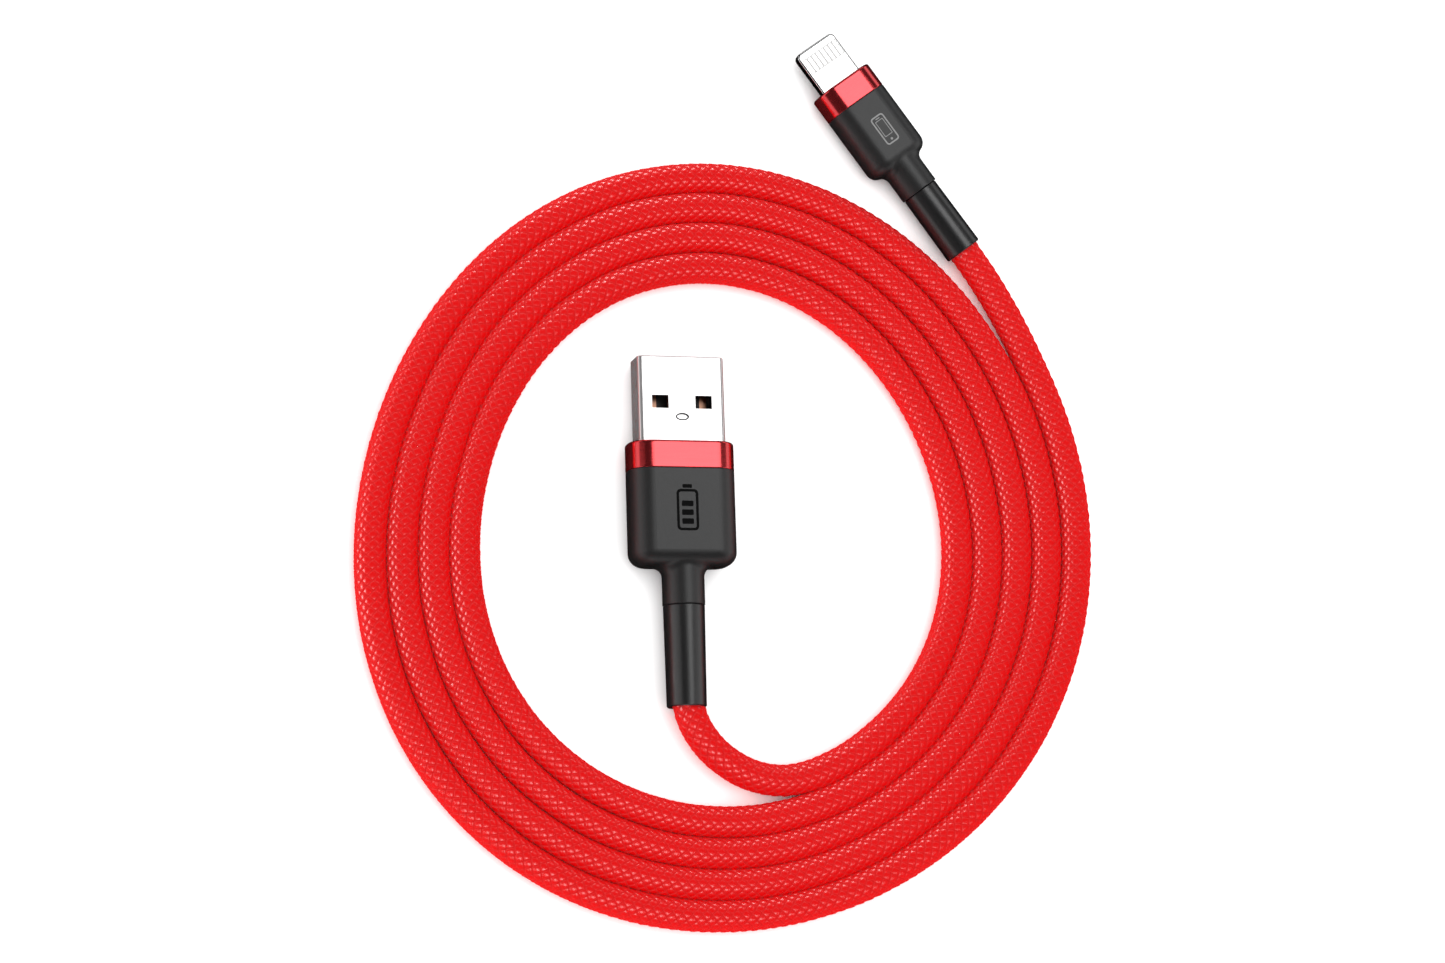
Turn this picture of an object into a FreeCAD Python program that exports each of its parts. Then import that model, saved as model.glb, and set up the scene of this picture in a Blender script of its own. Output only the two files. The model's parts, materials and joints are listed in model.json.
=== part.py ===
"""A braided charging cable in a flat coil: a type-A plug at one end and an 8-pin phone plug at the other.

Millimetres, +Z up. The surface that the cable lies on is z = 0. The origin is the bottom centre of the
type-A plug, which lies along Y with its tip towards +Y.

Each plug is modelled in a frame of its own and then placed. That frame's origin is on the plug's axis
at the front face of its collar, +Y points out through the tip, and lengths along the plug are given as
"back", the distance behind the collar's front face. What stands ahead of the collar has a negative back.
"""
import FreeCAD, Part
import math
import os
from types import SimpleNamespace

V = FreeCAD.Vector
UP = V(0, 0, 1)
BACKWARDS = V(0, -1, 0)
TINY = 1e-6

# ---- The cord -------------------------------------------------------------------------------------
CORD_D = 4.1
CORD_AXIS_Z = CORD_D / 2
BEND_REACH = 0.45           # an arc starts this share of the shorter run before its point

# The coil: a flat spiral that grows anti-clockwise, each turn beside the last, slightly oval.
COIL_CENTRE = V(6.1, -0.3, 0)
COIL_FIRST_RADIUS = 33.7
COIL_PITCH = 4.22
COIL_START = -58.0          # degrees
COIL_END = 1472.0           # degrees
LOBE_SPAN = (-68.0, 1474.0)  # the lobes change evenly from the first of these angles to the second
LOBES = (                   # (waves round the coil, (inner, outer) height, (inner, outer) crest angle)
    (2, (1.25, 1.35), (90.0, 70.0)),
    (3, (0.50, 0.60), (-22.0, -22.0)),
    (1, (0.21, -0.21), (195.0, 195.0)),
)
COIL_ARCS_PER_TURN = 15
INNER_TRIM = 0.2            # the coil's inner wall is set back, so that the tail beside it stays clear

# The tails' routes, from the inside of one strain relief to the coil, and from the coil to the other.
TYPE_A_TAIL = [
    V(0, -19.8, 3.6), V(0, -22.7, 3.6), V(1.1, -26.4, 3.5), V(4.0, -30.0, 3.2),
    V(8.3, -32.6, 2.7), V(13.2, -33.5, 2.2), V(18.0, -32.6, 2.05),
]
PHONE_TAIL = [V(45.9, 35.0, 2.7), V(42.77, 39.48, 3.0), V(40.88, 42.07, 3.0)]
TYPE_A_APPROACH = 3.0       # straight run square to the coil's first face
PHONE_APPROACH = 4.0        # straight run square to the coil's last face

# ---- The two handles: collar, housing with its neck, and strain relief -----------------------------
COLLAR_LIP = 0.7            # thickness of the collar's front wall
COLLAR_ROUND = 0.35         # on the collar's front edge
SEAM_ROUND = 0.12           # where collar and housing meet, and on the neck's end
FERRULE_D = 4.8
NECK_BORE_D = 4.9
SLEEVE_BORE_D = 4.2
MOUTH_D = 4.9
MOUTH_LENGTH = 2.0
SLEEVE_EDGE = 0.15
MOULD_GAP = 0.05            # between the inner mould and the walls round it
WIRE_D = 0.7
WIRE_SPREAD = 0.5           # the four wires sit at plus and minus this in the cord

TYPE_A = SimpleNamespace(
    name="type_a", centre=V(0, 11.9, 3.6), turn=0.0,
    width=14.6, thickness=7.2, corner=3.0, wall=0.6,
    collar_end=3.75, body_end=16.7, neck_end=21.9, sleeve_end=35.5,
    rear_round=1.9, neck_d=5.74, neck_round=1.4, sleeve_front_d=5.62, sleeve_back_d=5.36,
    opening=(12.1, 4.6, 0.65), cavity_end=14.6, chamber=(10.8, 3.8, 13.3), insert_end=7.05,
    cord_front=13.9, cord_back=31.7, ferrule=(15.3, 19.3), spigot_front=19.5,
)
PHONE = SimpleNamespace(
    name="phone", centre=V(24.93, 63.94, 3.0), turn=36.1,
    width=9.35, thickness=6.0, corner=2.6, wall=0.6,
    collar_end=3.66, body_end=14.2, neck_end=18.7, sleeve_end=29.07,
    rear_round=1.6, neck_d=5.55, neck_round=1.2, sleeve_front_d=5.15, sleeve_back_d=5.3,
    opening=(6.8, 1.6, 0.35), cavity_end=12.3, chamber=(6.0, 3.2, 11.6), insert_end=9.5,
    cord_front=11.8, cord_back=27.07, ferrule=(12.6, 15.8), spigot_front=16.0,
)

# ---- Inside the type-A plug -------------------------------------------------------------------------
SHELL = (12.0, 4.5, 0.65)   # width, height, corner radius
SHELL_WALL = 0.3
SHELL_EDGE = 0.18
SHELL_FRONT = -11.7
SHELL_WINDOW = (2.3, 1.8)
SHELL_WINDOW_X = 3.0
SHELL_WINDOW_BACK = -5.43
DIMPLE = (1.77, 0.95, 0.12)  # width, length, depth
DIMPLE_BACK = -3.4
SEAM_GAP = 0.06
TONGUE_HALF_WIDTH = 5.3
TONGUE_TOP = -0.11
TONGUE_BOTTOM = -1.95
TONGUE_FRONT = -11.35
TONGUE_END = -2.0
INSULATOR_END = 3.8
INSULATOR_BLOCK = (11.3, 3.8, 0.4)
CONTACT_WIDTH = 1.0
CONTACT_BOTTOM = -0.38
CONTACT_TOP = -0.08
CONTACT_END = 6.5
TYPE_A_CONTACTS = (         # (name, x, front): power and ground reach further forward than data
    ("power", 3.5, -10.6),
    ("data_minus", 1.0, -9.6),
    ("data_plus", -1.0, -9.6),
    ("ground", -3.5, -10.6),
)
TYPE_A_WIRE_FRONT = 5.1
TYPE_A_WIRE_BEND = 7.7
TYPE_A_WIRE_JOIN = 11.9
SOLDER_LENGTH = 0.6
DRAIN_D = 0.7
DRAIN_Z = 1.5
DRAIN_FRONT = 4.7

# ---- Inside the phone plug --------------------------------------------------------------------------
TIP = (6.7, 1.5, 0.3)       # width, height, corner radius of the section
TIP_LENGTH = 6.5
TIP_PLAN_CORNER = 0.75
FLANGE = (7.6, 3.4, 0.8)
FLANGE_END = 1.5
ARM_X = (2.9, 3.55)
ARM_END = 4.2
FIELD_HALF_WIDTH = 3.02
FIELD_BACKS = (-5.45, -3.05)
CHANNEL_HALF = (2.9, 0.42)
PAD_COUNT = 8
PAD_PITCH = 0.75
PAD_WIDTH = 0.5
PAD_BACKS = (-5.3, -3.2)
PAD_DEPTH = 0.15
LEG_THICKNESS = 0.1
LEG_BACK = 2.4
BOARD_HALF = (2.88, 0.25)
BOARD_BACKS = (1.5, 8.8)
CHIP = (2.4, 3.4, 5.8, 0.7)  # width, front, end, height
CAPACITOR = (1.0, 6.4, 7.0, 0.5)
CAPACITOR_X = 1.3
CAN_WALL = 0.2
PHONE_WIRES = (("power", 2.1), ("data_minus", 0.6), ("data_plus", -0.6), ("ground", -2.1))
PHONE_WIRE_FRONT = 7.9
PHONE_WIRE_BEND = 9.8
PHONE_WIRE_JOIN = 11.3


# ---- Basic solids -----------------------------------------------------------------------------------
def outline(width, height, corner, back):
    """A rounded rectangle square to the plug's axis."""
    far_x = width / 2 - corner
    far_z = height / 2 - corner
    corners = ((far_x, far_z, 0), (-far_x, far_z, 90), (-far_x, -far_z, 180), (far_x, -far_z, 270))
    arcs = []
    for x, z, start in corners:
        angles = [math.radians(start + step) for step in (0, 45, 90)]
        points = [V(x + corner * math.cos(a), -back, z + corner * math.sin(a)) for a in angles]
        arcs.append(Part.Arc(*points))
    edges = []
    for arc, following in zip(arcs, arcs[1:] + arcs[:1]):
        edges.append(arc.toShape())
        if arc.EndPoint.distanceToPoint(following.StartPoint) > TINY:
            edges.append(Part.makeLine(arc.EndPoint, following.StartPoint))
    return Part.Wire(edges)


def prism(size, start, end):
    """A bar of rounded rectangular section; size is (width, height, corner radius)."""
    return Part.Face(outline(*size, start)).extrude(BACKWARDS * (end - start))


def block(x_low, x_high, start, end, z_low, z_high):
    return Part.makeBox(x_high - x_low, end - start, z_high - z_low, V(x_low, -end, z_low))


def rod(diameter, start, end, x=0.0, z=0.0):
    return Part.makeCylinder(diameter / 2, end - start, V(x, -start, z), BACKWARDS)


def edges_at(shape, back):
    """The edges of a shape that lie in one plane square to the axis."""
    return [edge for edge in shape.Edges if all(abs(v.Point.y + back) < TINY for v in edge.Vertexes)]


def joined(solids):
    return solids[0].multiFuse(solids[1:]).removeSplitter()


# ---- Paths and tubes --------------------------------------------------------------------------------
def bent_path(points):
    """Straight runs joined by tangent arcs: the wire, and the radius of each arc."""
    edges = []
    radii = []
    start = points[0]
    for before, corner, after in zip(points, points[1:], points[2:]):
        run_in = corner - before
        run_out = after - corner
        half_turn = run_in.getAngle(run_out) / 2
        reach = BEND_REACH * min(run_in.Length, run_out.Length)
        radius = reach / math.tan(half_turn)
        run_in.normalize()
        run_out.normalize()
        entry = corner - run_in * reach
        leave = corner + run_out * reach
        inwards = (run_out - run_in).normalize()
        middle = corner + inwards * (radius / math.cos(half_turn) - radius)
        edges.append(Part.LineSegment(start, entry).toShape())
        edges.append(Part.Arc(entry, middle, leave).toShape())
        radii.append(radius)
        start = leave
    edges.append(Part.LineSegment(start, points[-1]).toShape())
    return Part.Wire(edges), radii


def tube(name, points, diameter):
    """A solid round cord along a path, with its volume compared with its section times its length."""
    path, radii = bent_path(points)
    section = Part.Wire(Part.makeCircle(diameter / 2, points[0], points[1] - points[0]))
    solid = path.makePipeShell([section], True, False)
    expected = math.pi * diameter ** 2 / 4 * path.Length
    listed = ", ".join(f"{radius:.1f}" for radius in radii)
    print(f"{name}: length {path.Length:.2f}, volume ratio {solid.Volume / expected:.4f}, radii {listed}")
    return solid


# ---- The cord ---------------------------------------------------------------------------------------
def coil_radius(angle):
    """The radius of the spiral at an angle in degrees, counted on from turn to turn."""
    share = (angle - LOBE_SPAN[0]) / (LOBE_SPAN[1] - LOBE_SPAN[0])
    radius = COIL_FIRST_RADIUS + COIL_PITCH * (angle - LOBE_SPAN[0]) / 360
    for waves, heights, crests in LOBES:
        height = heights[0] + (heights[1] - heights[0]) * share
        crest = crests[0] + (crests[1] - crests[0]) * share
        radius += height * math.cos(math.radians(waves * (angle - crest)))
    return radius


def coil_point(angle, offset=0.0, z=0.0):
    radius = coil_radius(angle) + offset
    around = math.radians(angle)
    return COIL_CENTRE + V(radius * math.cos(around), radius * math.sin(around), z)


def coil_direction(angle):
    """Anti-clockwise, square to the coil's radius."""
    around = math.radians(angle)
    return V(-math.sin(around), math.cos(around), 0)


def coil_edge(start, offset):
    """One turn of the spiral's edge as a chain of arcs."""
    step = 360 / COIL_ARCS_PER_TURN
    arcs = []
    for index in range(COIL_ARCS_PER_TURN):
        angles = [start + step * (index + part) for part in (0, 0.5, 1)]
        arcs.append(Part.Arc(*[coil_point(angle, offset) for angle in angles]).toShape())
    return arcs


def stepped_outline(start, offset):
    """A closed turn of the spiral, whose ends are joined by a step as wide as the cord."""
    arcs = coil_edge(start, offset)
    step = Part.makeLine(coil_point(start + 360, offset), coil_point(start, offset))
    return Part.Wire(arcs + [step])


def cord_coil():
    """The outer shape of all the turns, with a flat step where each tail meets it face to face."""
    outside = Part.Face(stepped_outline(COIL_END - 360, CORD_D / 2)).extrude(UP * CORD_D)
    inside = Part.Face(stepped_outline(COIL_START, INNER_TRIM - CORD_D / 2)).extrude(UP * CORD_D)
    return outside.cut(inside)


def cord_parts():
    start = coil_point(COIL_START, z=CORD_AXIS_Z)
    end = coil_point(COIL_END, z=CORD_AXIS_Z)
    before = start - coil_direction(COIL_START) * TYPE_A_APPROACH
    after = end + coil_direction(COIL_END) * PHONE_APPROACH
    return {
        "cord_type_a_tail": tube("cord_type_a_tail", TYPE_A_TAIL + [before, start], CORD_D),
        "cord_coil": cord_coil(),
        "cord_phone_tail": tube("cord_phone_tail", [end, after] + PHONE_TAIL, CORD_D),
    }


# ---- The handles ------------------------------------------------------------------------------------
def hollow_size(plug):
    return plug.width - 2 * plug.wall, plug.thickness - 2 * plug.wall, plug.corner - plug.wall


def collar(plug):
    """A thin metal ring with a front wall that the tip comes out through."""
    ring = prism((plug.width, plug.thickness, plug.corner), 0, plug.collar_end)
    ring = ring.makeFillet(COLLAR_ROUND, edges_at(ring, 0))
    ring = ring.makeFillet(SEAM_ROUND, edges_at(ring, plug.collar_end))
    hollow = prism(hollow_size(plug), COLLAR_LIP, plug.collar_end)
    return ring.cut(hollow).cut(prism(plug.opening, 0, COLLAR_LIP))


def housing(plug):
    """A moulded shell with rounded shoulders that run into a round neck."""
    body = prism((plug.width, plug.thickness, plug.corner), plug.collar_end, plug.body_end)
    body = body.makeFillet(plug.rear_round, edges_at(body, plug.body_end))
    body = body.makeFillet(SEAM_ROUND, edges_at(body, plug.collar_end))
    neck = rod(plug.neck_d, plug.body_end - plug.rear_round, plug.neck_end)
    outside = body.fuse(neck).removeSplitter()
    outside = outside.makeFillet(plug.neck_round, neck_root(outside, plug))
    outside = outside.makeFillet(SEAM_ROUND, edges_at(outside, plug.neck_end))
    cavity = prism(hollow_size(plug), plug.collar_end, plug.cavity_end)
    return outside.cut(cavity).cut(rod(NECK_BORE_D, plug.cavity_end, plug.neck_end))


def neck_root(shape, plug):
    """The edges where the neck grows out of the shoulders."""
    found = []
    for edge in shape.Edges:
        middle = edge.valueAt((edge.FirstParameter + edge.LastParameter) / 2)
        on_neck = abs(math.hypot(middle.x, middle.z) - plug.neck_d / 2) < 1e-3
        if on_neck and edge.BoundBox.YMin > -plug.body_end - 1 and edge.BoundBox.YLength < 1.5:
            found.append(edge)
    return found


def strain_relief(plug):
    """A turned sleeve whose spigot sits in the neck, with a bell mouth where the cord leaves."""
    bore = SLEEVE_BORE_D / 2
    end = plug.sleeve_end
    profile = [
        (bore, plug.spigot_front), (FERRULE_D / 2, plug.spigot_front), (FERRULE_D / 2, plug.neck_end),
        (plug.sleeve_front_d / 2 - SLEEVE_EDGE, plug.neck_end),
        (plug.sleeve_front_d / 2, plug.neck_end + SLEEVE_EDGE), (plug.sleeve_back_d / 2, end - SLEEVE_EDGE),
        (plug.sleeve_back_d / 2 - SLEEVE_EDGE, end), (MOUTH_D / 2, end), (bore, end - MOUTH_LENGTH),
    ]
    points = [V(radius, -back, 0) for radius, back in profile]
    return Part.Face(Part.makePolygon(points + points[:1])).revolve(V(0, 0, 0), V(0, 1, 0), 360)


def inner_mould(plug, insert_size):
    """The block that fills collar and housing round the metal insert and the wires."""
    width, height, corner = hollow_size(plug)
    size = (width - 2 * MOULD_GAP, height - 2 * MOULD_GAP, corner - MOULD_GAP)
    solid = prism(size, COLLAR_LIP + MOULD_GAP, plug.cavity_end)
    chamber_width, chamber_height, chamber_end = plug.chamber
    chamber = block(-chamber_width / 2, chamber_width / 2, plug.insert_end, chamber_end,
                    -chamber_height / 2, chamber_height / 2)
    solid = solid.cut(prism(insert_size, 0, plug.insert_end))
    return solid.cut(chamber).cut(rod(CORD_D, chamber_end, plug.cavity_end))


def ferrule(plug):
    start, end = plug.ferrule
    return rod(FERRULE_D, start, end).cut(rod(CORD_D, start, end))


def wires(plug, places, front, bend, join, z):
    """Four insulated wires, from their terminals to the four places that they take in the cord."""
    heights = {"power": 1, "ground": 1, "data_minus": -1, "data_plus": -1}
    solids = {}
    for name, x in places:
        end_x = math.copysign(WIRE_SPREAD, x)
        end_z = heights[name] * WIRE_SPREAD
        points = [V(x, -front, z), V(x, -bend, z), V(end_x, -join, end_z), V(end_x, -plug.cord_front, end_z)]
        node = f"{plug.name}_wire_{name}"
        solids[node] = tube(node, points, WIRE_D)
    return solids


def handle_parts(plug, insert_size):
    return {
        f"{plug.name}_collar": collar(plug),
        f"{plug.name}_housing": housing(plug),
        f"{plug.name}_strain_relief": strain_relief(plug),
        f"{plug.name}_inner_mould": inner_mould(plug, insert_size),
        f"{plug.name}_ferrule": ferrule(plug),
        f"{plug.name}_cord_end": rod(CORD_D, plug.cord_front, plug.cord_back),
    }


# ---- The type-A plug's own pieces -------------------------------------------------------------------
def shell():
    """A folded steel tube with two windows in its top and bottom, a dimple and a seam underneath."""
    width, height, corner = SHELL
    end = TYPE_A.insert_end
    solid = prism(SHELL, SHELL_FRONT, end)
    solid = solid.makeFillet(SHELL_EDGE, edges_at(solid, SHELL_FRONT))
    hollow = (width - 2 * SHELL_WALL, height - 2 * SHELL_WALL, corner - SHELL_WALL)
    solid = solid.cut(prism(hollow, SHELL_FRONT, end))
    half_x = SHELL_WINDOW[0] / 2
    half_y = SHELL_WINDOW[1] / 2
    for x in (-SHELL_WINDOW_X, SHELL_WINDOW_X):
        window = block(x - half_x, x + half_x, SHELL_WINDOW_BACK - half_y, SHELL_WINDOW_BACK + half_y,
                       -height, height)
        solid = solid.cut(window)
    solid = solid.cut(dimple(height / 2))
    seam = block(-SEAM_GAP / 2, SEAM_GAP / 2, SHELL_FRONT, end, -height, -height / 4)
    return solid.cut(seam)


def dimple(top):
    """A shallow oval pocket in the shell's top face."""
    width, length, depth = DIMPLE
    oval = Part.Ellipse(V(0, -DIMPLE_BACK, top - depth), width / 2, length / 2).toShape()
    return Part.Face(Part.Wire(oval)).extrude(UP * 2 * depth)


def contact_strip(x, front, end):
    half = CONTACT_WIDTH / 2
    return block(x - half, x + half, front, end, CONTACT_BOTTOM, CONTACT_TOP)


def insulator():
    """A rear block and a tongue, with a slot along it for each contact."""
    half = TONGUE_HALF_WIDTH
    tongue = block(-half, half, TONGUE_FRONT, TONGUE_END, TONGUE_BOTTOM, TONGUE_TOP)
    solid = joined([tongue, prism(INSULATOR_BLOCK, TONGUE_END, INSULATOR_END)])
    for _, x, front in TYPE_A_CONTACTS:
        solid = solid.cut(contact_strip(x, front, INSULATOR_END))
    return solid


def type_a_solder():
    """One joint on each contact's tail, and one between the drain wire and the shell."""
    half = CONTACT_WIDTH / 2
    front = TYPE_A_WIRE_FRONT - SOLDER_LENGTH
    blobs = [block(x - half, x + half, front, TYPE_A_WIRE_FRONT, CONTACT_TOP, CONTACT_TOP + WIRE_D)
             for _, x, _ in TYPE_A_CONTACTS]
    roof = SHELL[1] / 2 - SHELL_WALL
    blobs.append(block(-half, half, DRAIN_FRONT - SOLDER_LENGTH, DRAIN_FRONT, DRAIN_Z - DRAIN_D / 2, roof))
    return Part.Compound(blobs)


def type_a_parts():
    nodes = {"type_a_shell": shell(), "type_a_insulator": insulator()}
    for name, x, front in TYPE_A_CONTACTS:
        nodes[f"type_a_contact_{name}"] = contact_strip(x, front, CONTACT_END)
    places = [(name, x) for name, x, _ in TYPE_A_CONTACTS]
    wire_z = CONTACT_TOP + WIRE_D / 2
    nodes.update(wires(TYPE_A, places, TYPE_A_WIRE_FRONT, TYPE_A_WIRE_BEND, TYPE_A_WIRE_JOIN, wire_z))
    nodes["type_a_drain_wire"] = rod(DRAIN_D, DRAIN_FRONT, TYPE_A.cord_front, z=DRAIN_Z)
    nodes["type_a_solder_joints"] = type_a_solder()
    nodes.update(handle_parts(TYPE_A, SHELL))
    return nodes


# ---- The phone plug's own pieces --------------------------------------------------------------------
def tip_frame():
    """The plug's metal tip, its flange behind the collar's lip, and two arms that hold the board."""
    blade = block(-TIP[0] / 2, TIP[0] / 2, -TIP_LENGTH, FLANGE_END, -TIP[1] / 2, TIP[1] / 2)
    uprights = [edge for edge in edges_at(blade, -TIP_LENGTH) if edge.BoundBox.ZLength > TIP[1] / 2]
    blade = blade.makeFillet(TIP_PLAN_CORNER, uprights)
    rims = [edge for edge in blade.Edges if edge.BoundBox.ZLength < TIP[1] / 2
            and edge.BoundBox.YMax > TINY - FLANGE_END]
    blade = blade.makeFillet(TIP[2], rims)
    near, far = ARM_X
    arms = [block(low, high, FLANGE_END, ARM_END, -TIP[1] / 2, TIP[1] / 2)
            for low, high in ((near, far), (-far, -near))]
    solid = joined([blade, prism(FLANGE, COLLAR_LIP, FLANGE_END)] + arms)
    return solid.cut(carrier_body())


def carrier_body():
    """The insulating block that fills the window in the tip and the channel behind it."""
    half_x, half_z = CHANNEL_HALF
    field = block(-FIELD_HALF_WIDTH, FIELD_HALF_WIDTH, *FIELD_BACKS, -TIP[1] / 2, TIP[1] / 2)
    channel = block(-half_x, half_x, FIELD_BACKS[1], FLANGE_END, -half_z, half_z)
    return joined([field, channel])


def phone_contact(x, side):
    """A flat pad, a riser through the carrier and a leg that lies on the board's edge."""
    surface = TIP[1] / 2
    leg_z = BOARD_HALF[1]
    half = PAD_WIDTH / 2
    front, end = PAD_BACKS
    pieces = [
        block(x - half, x + half, front, end, surface - PAD_DEPTH, surface),
        block(x - half, x + half, end - PAD_DEPTH, end, leg_z, surface),
        block(x - half, x + half, end - PAD_DEPTH, LEG_BACK, leg_z, leg_z + LEG_THICKNESS),
    ]
    contact = joined(pieces)
    return contact if side > 0 else contact.mirror(V(0, 0, 0), UP)


def phone_contacts():
    solids = {}
    for face, side in (("front", 1), ("back", -1)):
        for index in range(PAD_COUNT):
            x = (index - (PAD_COUNT - 1) / 2) * PAD_PITCH
            solids[f"phone_contact_{face}_{index + 1}"] = phone_contact(x, side)
    return solids


def shield_can():
    width, height, corner = FLANGE
    end = PHONE.insert_end
    inside = (width - 2 * CAN_WALL, height - 2 * CAN_WALL, corner - CAN_WALL)
    return prism(FLANGE, FLANGE_END, end).cut(prism(inside, FLANGE_END, end))


def on_board(x, width, start, end, height):
    top = BOARD_HALF[1]
    return block(x - width / 2, x + width / 2, start, end, top, top + height)


def phone_solder():
    front = PHONE_WIRE_FRONT - SOLDER_LENGTH
    return Part.Compound([on_board(x, WIRE_D, front, PHONE_WIRE_FRONT, WIRE_D) for _, x in PHONE_WIRES])


def phone_parts():
    half_x, half_z = BOARD_HALF
    contacts = phone_contacts()
    chip_width, *chip_place = CHIP
    capacitor_width, *capacitor_place = CAPACITOR
    nodes = {
        "phone_tip_frame": tip_frame(),
        "phone_contact_carrier": carrier_body().cut(Part.Compound(list(contacts.values()))),
        "phone_board": block(-half_x, half_x, *BOARD_BACKS, -half_z, half_z),
        "phone_controller_chip": on_board(0, chip_width, *chip_place),
        "phone_capacitor_1": on_board(-CAPACITOR_X, capacitor_width, *capacitor_place),
        "phone_capacitor_2": on_board(CAPACITOR_X, capacitor_width, *capacitor_place),
        "phone_shield_can": shield_can(),
        "phone_solder_joints": phone_solder(),
    }
    wire_z = half_z + WIRE_D / 2
    nodes.update(contacts)
    nodes.update(wires(PHONE, PHONE_WIRES, PHONE_WIRE_FRONT, PHONE_WIRE_BEND, PHONE_WIRE_JOIN, wire_z))
    nodes.update(handle_parts(PHONE, FLANGE))
    return nodes


# ---- The whole cable --------------------------------------------------------------------------------
def placed(plug, nodes):
    """Turn a plug's pieces to the way it lies, and move them to its place."""
    for shape in nodes.values():
        shape.rotate(V(0, 0, 0), UP, plug.turn)
        shape.translate(plug.centre)
    return nodes


def main():
    os.makedirs("parts", exist_ok=True)
    nodes = cord_parts()
    nodes.update(placed(TYPE_A, type_a_parts()))
    nodes.update(placed(PHONE, phone_parts()))
    for name, shape in nodes.items():
        if not shape.isValid():
            print(f"{name} is not valid")
        shape.exportStep(f"parts/{name}.step")
    print(f"{len(nodes)} nodes")


main()
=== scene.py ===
"""A braided charging cable, laid in a flat coil on a pale floor. Blender 4.5, metres, +Z up.

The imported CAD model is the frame. This script gives each of its plugs' pieces a finish, puts a plain mark
on each housing, replaces the cord's plain solids with a braided cord, and sets the camera, the floor and
the lights.
"""

import json
import math

import bmesh
import bpy
import numpy as np
from mathutils import Matrix, Vector


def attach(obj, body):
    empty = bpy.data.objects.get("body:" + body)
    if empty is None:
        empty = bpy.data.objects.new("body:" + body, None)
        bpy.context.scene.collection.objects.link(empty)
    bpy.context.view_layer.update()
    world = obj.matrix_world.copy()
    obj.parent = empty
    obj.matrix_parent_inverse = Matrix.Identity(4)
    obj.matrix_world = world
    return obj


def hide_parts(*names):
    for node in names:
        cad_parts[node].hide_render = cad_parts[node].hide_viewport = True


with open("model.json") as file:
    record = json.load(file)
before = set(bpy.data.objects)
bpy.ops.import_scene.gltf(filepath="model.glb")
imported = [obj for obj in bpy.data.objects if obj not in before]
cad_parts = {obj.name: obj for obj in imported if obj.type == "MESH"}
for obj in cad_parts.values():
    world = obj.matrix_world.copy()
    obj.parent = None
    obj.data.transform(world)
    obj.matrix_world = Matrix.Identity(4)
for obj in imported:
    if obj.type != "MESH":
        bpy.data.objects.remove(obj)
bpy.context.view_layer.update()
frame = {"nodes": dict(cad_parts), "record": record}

MM = 0.001

# ---- The cord ------------------------------------------------------------------------------------------
CORD_AXIS_Z = 2.05          # in millimetres: the coil's axis, half a diameter above the floor

# The coil, in millimetres and degrees: a flat spiral that grows anti-clockwise, slightly oval.
COIL_CENTRE = (6.1, -0.3)
COIL_FIRST_RADIUS = 33.7
COIL_PITCH = 4.22
COIL_START = -58.0
COIL_END = 1472.0
LOBE_SPAN = (-68.0, 1474.0)
LOBES = (                   # (waves round the coil, (inner, outer) height, (inner, outer) crest angle)
    (2, (1.25, 1.35), (90.0, 70.0)),
    (3, (0.50, 0.60), (-22.0, -22.0)),
    (1, (0.21, -0.21), (195.0, 195.0)),
)
POINTS_PER_TURN = 24
ROUTE_STEPS = 24            # points read from the route's spline for each of its own

# The tails' routes, in millimetres, from one strain relief to the coil and from the coil to the other.
TYPE_A_TAIL = [
    (0, -19.8, 3.6), (0, -22.7, 3.6), (1.1, -26.4, 3.5), (4.0, -30.0, 3.2),
    (8.3, -32.6, 2.7), (13.2, -33.5, 2.2), (18.0, -32.6, 2.05),
]
PHONE_TAIL = [(45.9, 35.0, 2.7), (42.77, 39.48, 3.0), (40.88, 42.07, 3.0)]

# The braid: eight yarns each way, each over one and under one.
CARRIERS_EACH_WAY = 8
CROSSING_STEP = 0.675 * MM  # along the cord, from one crossing of a yarn to its next
SAMPLES_PER_CROSSING = 3
YARN_SECTION = (             # half a yarn's width and thickness, flat on top
    (1.0, -0.2), (0.92, 0.45), (0.55, 0.92), (0.0, 1.0),
    (-0.55, 0.92), (-0.92, 0.45), (-1.0, -0.2), (0.0, -1.0),
)
YARN_MIDDLE_RADIUS = 1.86 * MM
YARN_WAVE = 0.08 * MM
YARN_WIDTH = 1.06 * MM
YARN_THICKNESS = 0.40 * MM
CROWN_SWELL = 0.08          # how much wider and thicker a yarn is where it passes over
UNEVEN_RADIUS = 0.008 * MM  # how far the crowns' radius strays from even
UNEVEN_SWELL = 0.02         # how far their swell does
BRAID_SEED = 7
YARNS_PER_PIECE = 2
CORE_RADIUS = 1.58 * MM
CORE_SEGMENTS = 20

FILAMENT_GRAIN = (4.5, 1500.0, 0.3)     # along the three axes of a yarn's marks
FILAMENT_DEPTH = 0.004 * MM
# A yarn's colour and gloss in the middle of each crown, and round it: the red deepens round each crown,
# towards the grooves, as painted shade. The ends say how far out the change lies.
YARN_PAINTED_SHADE_COLOURS = ((0.97, 0.004, 0.005), (0.85, 0.001, 0.002))
YARN_PAINTED_SHADE_ENDS = (0.5, 1.0)
YARN_ROUGHNESS = (0.3, 0.95)
YARN_GLOSS_ENDS = (0.6, 0.8)
YARN_SPECULAR = 0.08

# The marks let into the housings, in millimetres, on their flat upper faces.
PHONE_TURN = 36.1           # degrees
BATTERY_CENTRE = (0.0, 2.4, 7.2)
HANDSET_CENTRE = (30.23, 56.67, 6.0)
MARK_PROUD = 0.02 * MM
MARK_SUNK = 0.10 * MM
MARK_EDGE = 0.012 * MM
MARK_CORNER_STEPS = 6
# The dimple that a ring of painted shadow goes round, in millimetres.
DIMPLE_CENTRE = (0.0, 15.3, 5.85)
OVAL_STEPS = 32


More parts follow.
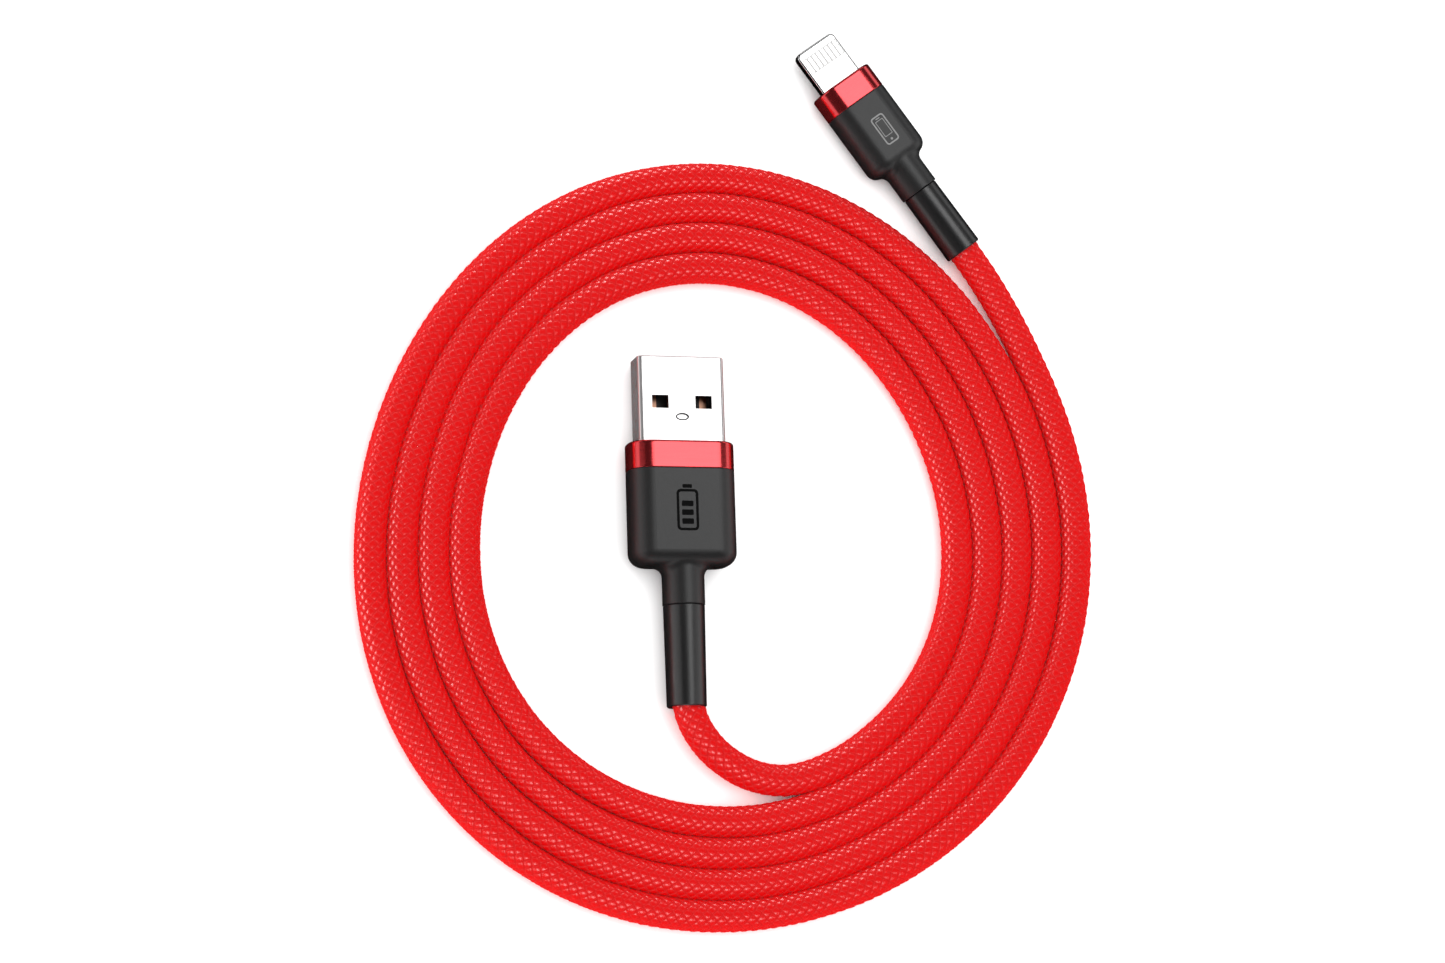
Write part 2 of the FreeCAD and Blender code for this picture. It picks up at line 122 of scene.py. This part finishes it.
# ---- Meshes --------------------------------------------------------------------------------------------
def new_object(name, data):
    obj = bpy.data.objects.new(name, data)
    bpy.context.scene.collection.objects.link(obj)
    return obj


def tube_mesh(name, tubes):
    """A mesh of closed tubes; each is an array of (rings, points in a ring, 3)."""
    points = []
    corners = []
    totals = []
    base = 0
    for rings in tubes:
        count, around, _ = rings.shape
        index = base + np.arange(count * around).reshape(count, around)
        following = np.roll(index, -1, axis=1)
        quads = np.stack([index[:-1], following[:-1], following[1:], index[1:]], axis=-1).reshape(-1)
        caps = [index[0, ::-1], index[-1]]
        corners += [quads, *caps]
        totals += [np.full((count - 1) * around, 4), np.full(2, around)]
        points.append(rings.reshape(-1, 3))
        base += count * around
    return fill_mesh(name, np.concatenate(points), np.concatenate(corners), np.concatenate(totals))


def fill_mesh(name, points, corners, totals):
    mesh = bpy.data.meshes.new(name)
    mesh.vertices.add(len(points))
    mesh.vertices.foreach_set("co", points.astype(np.float32).reshape(-1))
    mesh.loops.add(len(corners))
    mesh.loops.foreach_set("vertex_index", corners.astype(np.int32))
    mesh.polygons.add(len(totals))
    starts = np.concatenate([[0], np.cumsum(totals)[:-1]])
    mesh.polygons.foreach_set("loop_start", starts.astype(np.int32))
    mesh.update(calc_edges=True)
    mesh.polygons.foreach_set("use_smooth", np.ones(len(totals), dtype=bool))
    mesh.validate()
    return mesh


# ---- The cord's route ----------------------------------------------------------------------------------
def coil_radius(angle):
    """The radius of the spiral at an angle in degrees, counted on from turn to turn."""
    share = (angle - LOBE_SPAN[0]) / (LOBE_SPAN[1] - LOBE_SPAN[0])
    radius = COIL_FIRST_RADIUS + COIL_PITCH * (angle - LOBE_SPAN[0]) / 360
    for waves, heights, crests in LOBES:
        height = heights[0] + (heights[1] - heights[0]) * share
        crest = crests[0] + (crests[1] - crests[0]) * share
        radius += height * math.cos(math.radians(waves * (angle - crest)))
    return radius


def coil_points():
    """Control points a little outside the spiral, so that the spline through their middles lies on it."""
    steps = round((COIL_END - COIL_START) / 360 * POINTS_PER_TURN)
    outwards = 1 / math.cos(math.radians(360 / POINTS_PER_TURN) / 2)
    points = []
    for angle in np.linspace(COIL_START, COIL_END, steps + 1):
        radius = coil_radius(angle) * outwards
        around = math.radians(angle)
        points.append((COIL_CENTRE[0] + radius * math.cos(around),
                       COIL_CENTRE[1] + radius * math.sin(around), CORD_AXIS_Z))
    return points


def route_line():
    """The points along the route's NURBS spline, close together."""
    curve = bpy.data.curves.new("route", "CURVE")
    curve.dimensions = "3D"
    spline = curve.splines.new("NURBS")
    route = TYPE_A_TAIL + coil_points() + PHONE_TAIL
    spline.points.add(len(route) - 1)
    for point, place in zip(spline.points, route):
        point.co = (*[value * MM for value in place], 1.0)
    spline.order_u = 3
    spline.use_endpoint_u = True
    spline.resolution_u = ROUTE_STEPS
    obj = new_object("route", curve)
    mesh = bpy.data.meshes.new_from_object(obj)
    line = np.array([vertex.co for vertex in mesh.vertices], dtype=float)
    bpy.data.objects.remove(obj)
    bpy.data.meshes.remove(mesh)
    return line


def along_line(line, step):
    """Points at even steps along a line, with the direction, the left and the up of each."""
    lengths = np.linalg.norm(np.diff(line, axis=0), axis=1)
    line = line[np.concatenate([[True], lengths > 1e-9])]
    at = np.concatenate([[0], np.cumsum(np.linalg.norm(np.diff(line, axis=0), axis=1))])
    places = np.arange(0, at[-1], step)
    points = np.stack([np.interp(places, at, line[:, axis]) for axis in range(3)], axis=1)
    forward = np.gradient(points, axis=0)
    forward /= np.linalg.norm(forward, axis=1)[:, None]
    left = np.cross([0.0, 0.0, 1.0], forward)
    left /= np.linalg.norm(left, axis=1)[:, None]
    return places, points, forward, left, np.cross(forward, left)


# ---- The cord and its braid ----------------------------------------------------------------------------
def core_tube(line):
    _, points, _, left, up = along_line(line, 2 * CROSSING_STEP)
    around = np.linspace(0, 2 * math.pi, CORE_SEGMENTS, endpoint=False)
    rings = (points[:, None, :] + CORE_RADIUS * (np.cos(around)[None, :, None] * left[:, None, :]
                                                 + np.sin(around)[None, :, None] * up[:, None, :]))
    return tube_mesh("cord", [rings])


def yarn_rings(course, number, way, chance):
    """One yarn: a flat oval bundle that winds one way round the cord, over one yarn and under the next."""
    places, points, forward, left, up = course
    crossings = places / CROSSING_STEP
    columns = 2 * CARRIERS_EACH_WAY
    turn = 2 * math.pi * (2 * number + way * crossings) / columns
    lift = way * np.cos(math.pi * crossings)
    crowns = np.round(crossings).astype(int)
    uneven = chance.normal(0, 1, (2, crowns[-1] + 2))[:, crowns]
    radius = YARN_MIDDLE_RADIUS + YARN_WAVE * lift + UNEVEN_RADIUS * uneven[0]
    outwards = np.cos(turn)[:, None] * left + np.sin(turn)[:, None] * up
    sideways = -np.sin(turn)[:, None] * left + np.cos(turn)[:, None] * up
    pace = 2 * math.pi * YARN_MIDDLE_RADIUS / columns / CROSSING_STEP
    onwards = forward + way * pace * sideways
    onwards /= np.linalg.norm(onwards, axis=1)[:, None]
    across = np.cross(outwards, onwards)
    swell = 1 + CROWN_SWELL * lift + UNEVEN_SWELL * uneven[1]
    wide, high = np.array(YARN_SECTION).T
    flat = (YARN_WIDTH / 2 * swell)[:, None] * wide
    thick = (YARN_THICKNESS / 2 * swell)[:, None] * high
    centre = points + radius[:, None] * outwards
    rings = (centre[:, None, :] + flat[:, :, None] * across[:, None, :]
             + thick[:, :, None] * outwards[:, None, :])
    marks = np.stack([np.broadcast_to(wide, flat.shape),
                      np.broadcast_to(places[:, None], flat.shape),
                      np.broadcast_to(lift[:, None], flat.shape)], axis=-1)
    return rings, marks.reshape(-1, 3)


def braid(line):
    """The yarns, a few to a piece.

    Each point keeps three marks for its painted shade, gloss and fine lines: its place across the yarn and
    along the cord, and its lift.
    """
    course = along_line(line, CROSSING_STEP / SAMPLES_PER_CROSSING)
    chance = np.random.default_rng(BRAID_SEED)
    pieces = []
    look = yarn_material()
    for way, label in ((1, "left"), (-1, "right")):
        for first in range(0, CARRIERS_EACH_WAY, YARNS_PER_PIECE):
            yarns = [yarn_rings(course, first + n, way, chance) for n in range(YARNS_PER_PIECE)]
            name = f"braid_{label}_{first // YARNS_PER_PIECE + 1}"
            mesh = tube_mesh(name, [rings for rings, _ in yarns])
            marks = np.concatenate([yarn_marks for _, yarn_marks in yarns]).astype(np.float32)
            mesh.attributes.new("yarn", "FLOAT_VECTOR", "POINT").data.foreach_set("vector", marks.reshape(-1))
            mesh.materials.append(look)
            piece = new_object(name, mesh)
            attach(piece, "root")
            pieces.append(piece)
    return pieces


def make_cord(handset_mark):
    """The braided cord and its core, in place of the cord's plain solids. The handset mark it is given is not
    used.
    """
    line = route_line()
    cord = new_object("cord", core_tube(line))
    cord.data.materials.append(finish("cord_jacket"))
    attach(cord, "root")
    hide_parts("cord_type_a_tail", "cord_coil", "cord_phone_tail")
    pieces = braid(line)
    for piece in pieces:
        CORD_LIT.objects.link(piece)


# ---- Materials -----------------------------------------------------------------------------------------
def new_material(name):
    """A material and its nodes, links and Principled shader."""
    material = bpy.data.materials.new(name)
    material.use_nodes = True
    tree = material.node_tree
    return material, tree, tree.nodes["Principled BSDF"]


def set_shader(shader, **values):
    for name, value in values.items():
        shader.inputs[name.replace("_", " ")].default_value = value


def node(tree, kind, **settings):
    made = tree.nodes.new(kind)
    for name, value in settings.items():
        if name in made.inputs:
            made.inputs[name].default_value = value
        else:
            setattr(made, name, value)
    return made


def noise_at(tree, grain, turn=0.0):
    """Noise fixed to the object, with so many grains to a millimetre along each axis of a turned plug."""
    place = node(tree, "ShaderNodeTexCoord")
    spread = node(tree, "ShaderNodeMapping", vector_type="TEXTURE", Rotation=(0, 0, turn),
                  Scale=[MM / count for count in grain])
    noise = node(tree, "ShaderNodeTexNoise", Scale=1.0, Detail=4.0, Roughness=0.6)
    tree.links.new(place.outputs["Object"], spread.inputs["Vector"])
    tree.links.new(spread.outputs["Vector"], noise.inputs["Vector"])
    return noise.outputs["Fac"]


def colour_by(tree, shader, amount, low, high, ends=(0.3, 0.7)):
    ramp = node(tree, "ShaderNodeValToRGB")
    for stop, place, colour in zip(ramp.color_ramp.elements, ends, (low, high)):
        stop.position = place
        stop.color = (*colour, 1)
    tree.links.new(amount, ramp.inputs["Fac"])
    tree.links.new(ramp.outputs["Color"], shader.inputs["Base Color"])


def value_by(tree, socket, amount, low, high, ends=(0.3, 0.7)):
    """Drives a socket from low to high while the amount goes from one end to the other."""
    spread = node(tree, "ShaderNodeMapRange")
    for name, value in zip(("From Min", "From Max", "To Min", "To Max"), (*ends, low, high)):
        spread.inputs[name].default_value = value
    tree.links.new(amount, spread.inputs["Value"])
    tree.links.new(spread.outputs[0], socket)


def bump_by(tree, shader, amount, depth):
    bump = node(tree, "ShaderNodeBump", Strength=1.0, Distance=depth)
    tree.links.new(amount, bump.inputs["Height"])
    tree.links.new(bump.outputs["Normal"], shader.inputs["Normal"])


def grained_material(name, colours, roughness, metallic, grain, depth, turn, **more):
    """A surface whose colour, roughness and height follow one fine grain."""
    material, tree, shader = new_material(name)
    set_shader(shader, Metallic=metallic, **more)
    noise = noise_at(tree, grain, turn)
    colour_by(tree, shader, noise, *colours)
    value_by(tree, shader.inputs["Roughness"], noise, *roughness)
    bump_by(tree, shader, noise, depth * MM)
    return material


def yarn_material():
    """Red filament yarn: glossy on its crowns, matt round them, finely lined along, and deeper red round its
    crowns as painted shade.
    """
    material, tree, shader = new_material("braid_yarn")
    marks = node(tree, "ShaderNodeAttribute", attribute_name="yarn")
    parts = node(tree, "ShaderNodeSeparateXYZ")
    tree.links.new(marks.outputs["Vector"], parts.inputs[0])
    stretch = node(tree, "ShaderNodeMapping", vector_type="POINT", Scale=FILAMENT_GRAIN)
    filaments = node(tree, "ShaderNodeTexNoise", Scale=1.0, Detail=2.0)
    tree.links.new(marks.outputs["Vector"], stretch.inputs["Vector"])
    tree.links.new(stretch.outputs["Vector"], filaments.inputs["Vector"])
    edge = node(tree, "ShaderNodeMath", operation="ABSOLUTE")
    tree.links.new(parts.outputs["X"], edge.inputs[0])
    dive = node(tree, "ShaderNodeMath", operation="SUBTRACT")
    dive.inputs[0].default_value = 1.0
    tree.links.new(parts.outputs["Z"], dive.inputs[1])
    rim = node(tree, "ShaderNodeMath", operation="MAXIMUM")
    tree.links.new(edge.outputs[0], rim.inputs[0])
    tree.links.new(dive.outputs[0], rim.inputs[1])
    # Painted shade: the red deepens from each crown's middle towards its edges and ends, where the grooves
    # lie.
    colour_by(tree, shader, rim.outputs[0], *YARN_PAINTED_SHADE_COLOURS, YARN_PAINTED_SHADE_ENDS)
    value_by(tree, shader.inputs["Roughness"], rim.outputs[0], *YARN_ROUGHNESS, YARN_GLOSS_ENDS)
    set_shader(shader, Specular_IOR_Level=YARN_SPECULAR)
    bump_by(tree, shader, filaments.outputs["Fac"], FILAMENT_DEPTH)
    return material


# Each slot's finish: (dark and light colour, least and most roughness, metal, grains to a millimetre along
# x, y and z, height of the grain in millimetres, other settings of the shader).
MOULDED = (4.0, 4.0, 4.0)
BRUSHED_ALONG = (9.0, 0.35, 9.0)
BRUSHED_ROUND = (0.35, 9.0, 0.35)
FINISHES = {
    "housing_plastic": (((0.012, 0.012, 0.013), (0.018, 0.018, 0.019)), (0.42, 0.48), 0.0, MOULDED, 0.0015,
                        {"Specular_IOR_Level": 0.9}),
    "strain_relief_plastic": (((0.011, 0.011, 0.012), (0.017, 0.017, 0.018)), (0.30, 0.36), 0.0, MOULDED,
                              0.0015, {"Specular_IOR_Level": 0.9}),
    "inner_mould_plastic": (((0.55, 0.54, 0.50), (0.66, 0.65, 0.61)), (0.45, 0.55), 0.0, MOULDED, 0.004, {}),
    "insulator_plastic": (((0.008, 0.008, 0.008), (0.015, 0.015, 0.015)), (0.40, 0.55), 0.0, MOULDED,
                          0.004, {}),
    "carrier_plastic": (((0.72, 0.72, 0.72), (0.80, 0.80, 0.80)), (0.45, 0.55), 0.0, MOULDED, 0.003,
                        {"Specular_IOR_Level": 0.1}),
    "chip_plastic": (((0.015, 0.015, 0.017), (0.03, 0.03, 0.032)), (0.5, 0.65), 0.0, MOULDED, 0.004, {}),
    "capacitor_ceramic": (((0.42, 0.30, 0.20), (0.52, 0.39, 0.27)), (0.4, 0.5), 0.0, MOULDED, 0.003, {}),
    "board_laminate": (((0.01, 0.09, 0.04), (0.02, 0.14, 0.06)), (0.3, 0.4), 0.0, (7.0, 7.0, 7.0), 0.003, {}),
    "shell_steel": (((0.80, 0.79, 0.79), (0.88, 0.87, 0.87)), (0.16, 0.26), 0.72, BRUSHED_ALONG, 0.0006, {}),
    "tip_metal": (((0.84, 0.84, 0.84), (0.91, 0.91, 0.91)), (0.16, 0.26), 1.0, BRUSHED_ALONG, 0.0006, {}),
    "collar_metal": (((0.82, 0.05, 0.06), (0.90, 0.07, 0.08)), (0.16, 0.24), 0.9, BRUSHED_ROUND, 0.0006,
                     {"Coat_Weight": 0.6, "Coat_Roughness": 0.15}),
    # Copper-coloured contacts, darkened further as painted shade for their place inside the plug's mouth.
    "contact_metal": (((0.36, 0.19, 0.13), (0.46, 0.26, 0.18)), (0.3, 0.4), 1.0, BRUSHED_ALONG, 0.0006, {}),
    "phone_pads": (((0.82, 0.81, 0.79), (0.88, 0.87, 0.85)), (0.2, 0.3), 1.0, MOULDED, 0.0003, {}),
    "ferrule_metal": (((0.66, 0.62, 0.52), (0.76, 0.72, 0.62)), (0.25, 0.4), 1.0, BRUSHED_ROUND, 0.001, {}),
    "can_metal": (((0.66, 0.66, 0.67), (0.75, 0.75, 0.76)), (0.25, 0.4), 1.0, BRUSHED_ALONG, 0.001, {}),
    "solder": (((0.62, 0.62, 0.64), (0.74, 0.74, 0.76)), (0.2, 0.4), 1.0, (3.0, 3.0, 3.0), 0.006, {}),
    "drain_copper": (((0.80, 0.42, 0.26), (0.90, 0.52, 0.34)), (0.2, 0.35), 1.0, (8.0, 2.0, 8.0), 0.004, {}),
    "wire_black": (((0.01, 0.01, 0.01), (0.02, 0.02, 0.02)), (0.4, 0.5), 0.0, MOULDED, 0.003, {}),
    "wire_green": (((0.01, 0.22, 0.05), (0.02, 0.30, 0.07)), (0.4, 0.5), 0.0, MOULDED, 0.003, {}),
    "wire_red": (((0.45, 0.01, 0.01), (0.58, 0.02, 0.02)), (0.4, 0.5), 0.0, MOULDED, 0.003, {}),
    "wire_white": (((0.68, 0.68, 0.66), (0.78, 0.78, 0.76)), (0.4, 0.5), 0.0, MOULDED, 0.003, {}),
    "cord_jacket": (((0.75, 0.003, 0.004), (0.88, 0.004, 0.005)), (0.6, 0.8), 0.0, MOULDED, 0.01, {}),
    "mark_black": (((0.001, 0.001, 0.001), (0.003, 0.003, 0.003)), (0.5, 0.6), 0.0, MOULDED, 0.001,
                   {"Specular_IOR_Level": 0.1}),
    # A dark ring of painted shadow round the shell's dimple.
    "painted_dimple_shadow": (((0.02, 0.02, 0.02), (0.04, 0.04, 0.04)), (0.3, 0.4), 1.0, MOULDED, 0.001, {}),
    "mark_grey": (((0.34, 0.34, 0.34), (0.42, 0.42, 0.42)), (0.4, 0.5), 0.0, MOULDED, 0.001,
                  {"Specular_IOR_Level": 0.3}),
}

finishes_made = {}


def finish(slot, turn=0.0):
    """The finish of a slot, with its grain lined up with a plug that is turned by so many degrees."""
    name = f"{slot}_turned" if turn else f"{slot}_straight"
    if name not in finishes_made:
        colours, roughness, metallic, grain, depth, more = FINISHES[slot]
        finishes_made[name] = grained_material(name, colours, roughness, metallic, grain, depth,
                                               math.radians(turn), **more)
    return finishes_made[name]


def finish_cad_nodes():
    """Each node's finish, by its slot. The phone plug's contacts are paler than the other plug's, whose
    copper colour is darkened as painted shade.
    """
    slots = {entry["node"]: entry["material_slot"] for entry in frame["record"]["subparts"]}
    for name, obj in frame["nodes"].items():
        on_phone_plug = name.startswith("phone_")
        look = "phone_pads" if on_phone_plug and slots[name] == "contact_metal" else slots[name]
        for place in obj.material_slots:
            place.material = finish(look, PHONE_TURN if on_phone_plug else 0.0)
        PLUGS_LIT.objects.link(obj)


# ---- The marks on the housings -------------------------------------------------------------------------
def rounded(width, length, corner, y=0.0):
    """The outline of a rounded rectangle round (0, y), anti-clockwise, in millimetres."""
    points = []
    for quarter, (side_x, side_y) in enumerate(((1, 1), (-1, 1), (-1, -1), (1, -1))):
        for step in range(MARK_CORNER_STEPS + 1):
            angle = math.pi / 2 * (quarter + step / MARK_CORNER_STEPS)
            points.append((side_x * (width / 2 - corner) + corner * math.cos(angle),
                           y + side_y * (length / 2 - corner) + corner * math.sin(angle)))
    return points


def add_inlay(build, outer, inner=None):
    """A thin plate with the given outline, and a hole in it if there is an inner one."""
    def ring(outline, height):
        return [build.verts.new((x * MM, y * MM, height)) for x, y in outline]

    def wall(lower, upper):
        for n, corner in enumerate(lower):
            after = (n + 1) % len(lower)
            build.faces.new((corner, lower[after], upper[after], upper[n]))

    outer_low, outer_high = ring(outer, -MARK_SUNK), ring(outer, MARK_PROUD)
    wall(outer_low, outer_high)
    if inner is None:
        build.faces.new(outer_high)
        build.faces.new(outer_low[::-1])
        return
    inner_low, inner_high = ring(inner, -MARK_SUNK), ring(inner, MARK_PROUD)
    wall(inner_high, inner_low)
    wall(outer_high, inner_high)
    wall(inner_low, outer_low)


def make_mark(name, look, shapes, centre, turn):
    build = bmesh.new()
    for shape in shapes:
        add_inlay(build, *shape)
    mesh = bpy.data.meshes.new(name)
    build.to_mesh(mesh)
    build.free()
    mesh.materials.append(finish(look))
    mark = new_object(name, mesh)
    mark.location = Vector(centre) * MM
    mark.rotation_euler = (0, 0, math.radians(turn))
    PLUGS_LIT.objects.link(mark)
    edge = mark.modifiers.new("edge", "BEVEL")
    edge.width = MARK_EDGE
    edge.segments = 2
    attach(mark, "root")
    return mark


def make_battery_mark():
    """A plain battery on the type-A housing."""
    shapes = [(rounded(3.0, 5.6, 0.6), rounded(2.3, 4.9, 0.3)), (rounded(1.3, 0.5, 0.12, 3.2),)]
    shapes += [(rounded(1.6, 0.75, 0.15, y),) for y in (-1.55, -0.35, 0.85)]
    return make_mark("battery_mark", "mark_black", shapes, BATTERY_CENTRE, 0.0)


def make_handset_mark():
    """A plain handset on the phone plug's housing."""
    shapes = [(rounded(2.2, 4.4, 0.45), rounded(1.8, 4.0, 0.27)),
              (rounded(0.36, 0.36, 0.179, -1.62),),
              (rounded(1.35, 2.5, 0.12, 0.25), rounded(1.15, 2.3, 0.05, 0.25)),
              (rounded(0.7, 0.14, 0.06, 1.76),)]
    return make_mark("handset_mark", "mark_grey", shapes, HANDSET_CENTRE, PHONE_TURN)


def oval(width, length):
    angles = np.linspace(0, 2 * math.pi, OVAL_STEPS, endpoint=False)
    return [(width / 2 * math.cos(angle), length / 2 * math.sin(angle)) for angle in angles]


def make_dimple_painted_shadow():
    """A dark ring round the shell's dimple: painted shadow where the recess edge throws shade."""
    shape = (oval(1.86, 1.04), oval(1.46, 0.68))
    return make_mark("shell_dimple_painted_shadow", "painted_dimple_shadow", [shape], DIMPLE_CENTRE, 0.0)


# ---- Camera, floor and lights --------------------------------------------------------------------------
CAMERA_TARGET = Vector((6.333, 7.258, 2.05)) * MM
CAMERA_DISTANCE = 0.450
CAMERA_SIDE = (-0.263, -0.179)      # x and y of the unit vector from the target to the camera
CAMERA_ROLL = -0.032
CAMERA_LENS = 82.88
SENSOR_WIDTH = 36.0

# The world gives the even light. The cord, the plugs and the floor each have lights of their own as well.
# Those of the cord and the plugs show only as highlights; the floor's lights it evenly from above.
# Strips of light round the cord: (degrees round from +X, degrees up, radiance). They cast no shadow.
CORD_LIGHTS = ((180, 12, 98.0), (225, 35, 20.0), (270, 56, 68.0), (315, 45, 12.0),
               (45, 25, 14.0), (90, 15, 68.0), (135, 14, 20.0))
CORD_LIGHT_SIZE = (0.3, 0.26)
CORD_LIGHT_DISTANCE = 0.8
# Wide, weak lights that the plugs reflect when they are seen from the sides.
PLUG_LIGHTS = tuple((azimuth, 12, 0.9) for azimuth in range(30, 390, 60))
PLUG_LIGHT_SIZE = (0.7, 0.35)
PLUG_LIGHT_DISTANCE = 0.9
# Lights placed one by one: (name, direction, distance, size, radiance).
PLUG_SOFTBOXES = (
    ("plugs_above", (0.275, 0.26, 0.926), 0.9, (0.44, 0.44), 2.8),
    ("plugs_left", (-0.94, 0.0, 0.36), 0.8, (0.22, 0.9), 1.2),
    ("plugs_right", (0.94, 0.0, 0.36), 0.8, (0.22, 0.9), 1.0),
)
FLOOR_LIGHT = ("floor_above", (0.0, 0.0, 1.0), 2.5, (4.0, 4.0), 2.0)
FLOOR_HALF = 4.0
WORLD_STRENGTH = 0.84


def make_camera():
    side_x, side_y = CAMERA_SIDE
    outwards = Vector((side_x, side_y, math.sqrt(1 - side_x ** 2 - side_y ** 2)))
    up = (Vector((0, 1, 0)) - side_y * outwards).normalized()
    right = up.cross(outwards)
    cos, sin = math.cos(CAMERA_ROLL), math.sin(CAMERA_ROLL)
    rolled_right = cos * right + sin * up
    rolled_up = cos * up - sin * right
    data = bpy.data.cameras.new("camera")
    data.lens = CAMERA_LENS
    data.sensor_width = SENSOR_WIDTH
    data.sensor_fit = "HORIZONTAL"
    data.clip_start = 0.01
    data.clip_end = 20
    camera = new_object("camera", data)
    turned = Matrix((rolled_right, rolled_up, outwards)).transposed().to_4x4()
    turned.translation = CAMERA_TARGET + CAMERA_DISTANCE * outwards
    camera.matrix_world = turned
    bpy.context.scene.camera = camera


def make_floor():
    mesh = bpy.data.meshes.new("floor")
    corners = [(x * FLOOR_HALF, y * FLOOR_HALF, 0) for x, y in ((-1, -1), (1, -1), (1, 1), (-1, 1))]
    mesh.from_pydata(corners, [], [(0, 1, 2, 3)])
    floor = new_object("floor", mesh)
    material, _, shader = new_material("floor")
    set_shader(shader, Base_Color=(0.93, 0.93, 0.93, 1), Roughness=0.9)
    mesh.materials.append(material)
    floor.visible_glossy = False        # the plugs and the cord don't mirror it
    FLOOR_LIT.objects.link(floor)


def area_light(name, direction, distance, size, radiance, lit):
    """A soft rectangular light that faces the object and gives one group of pieces its highlights only."""
    data = bpy.data.lights.new(name, "AREA")
    data.shape = "RECTANGLE"
    data.size, data.size_y = size
    data.energy = radiance * math.pi * size[0] * size[1]
    light = new_object(name, data)
    towards = Vector(direction).normalized()
    light.location = CAMERA_TARGET + towards * distance
    light.rotation_euler = towards.to_track_quat("Z", "Y").to_euler()
    light.visible_diffuse = False
    light.light_linking.receiver_collection = lit
    return light


def direction_of(azimuth, elevation):
    around, up = math.radians(azimuth), math.radians(elevation)
    return math.cos(up) * math.cos(around), math.cos(up) * math.sin(around), math.sin(up)


def make_lights():
    for azimuth, elevation, radiance in CORD_LIGHTS:
        light = area_light(f"cord_{azimuth}", direction_of(azimuth, elevation), CORD_LIGHT_DISTANCE,
                           CORD_LIGHT_SIZE, radiance, CORD_LIT)
        light.data.use_shadow = False
    for azimuth, elevation, radiance in PLUG_LIGHTS:
        area_light(f"plugs_{azimuth}", direction_of(azimuth, elevation), PLUG_LIGHT_DISTANCE,
                   PLUG_LIGHT_SIZE, radiance, PLUGS_LIT)
    for softbox in PLUG_SOFTBOXES:
        area_light(*softbox, PLUGS_LIT)
    area_light(*FLOOR_LIGHT, FLOOR_LIT).visible_diffuse = True
    world = bpy.data.worlds.new("studio")
    bpy.context.scene.world = world
    world.use_nodes = True
    background = world.node_tree.nodes["Background"]
    background.inputs["Color"].default_value = (1, 1, 1, 1)
    background.inputs["Strength"].default_value = WORLD_STRENGTH
    world.cycles_visibility.glossy = False
    bpy.context.scene.view_settings.view_transform = "Standard"


CORD_LIT = bpy.data.collections.new("cord_lit")
PLUGS_LIT = bpy.data.collections.new("plugs_lit")
FLOOR_LIT = bpy.data.collections.new("floor_lit")
make_camera()
make_floor()
make_lights()
make_battery_mark()
make_dimple_painted_shadow()
make_cord(make_handset_mark())
finish_cad_nodes()
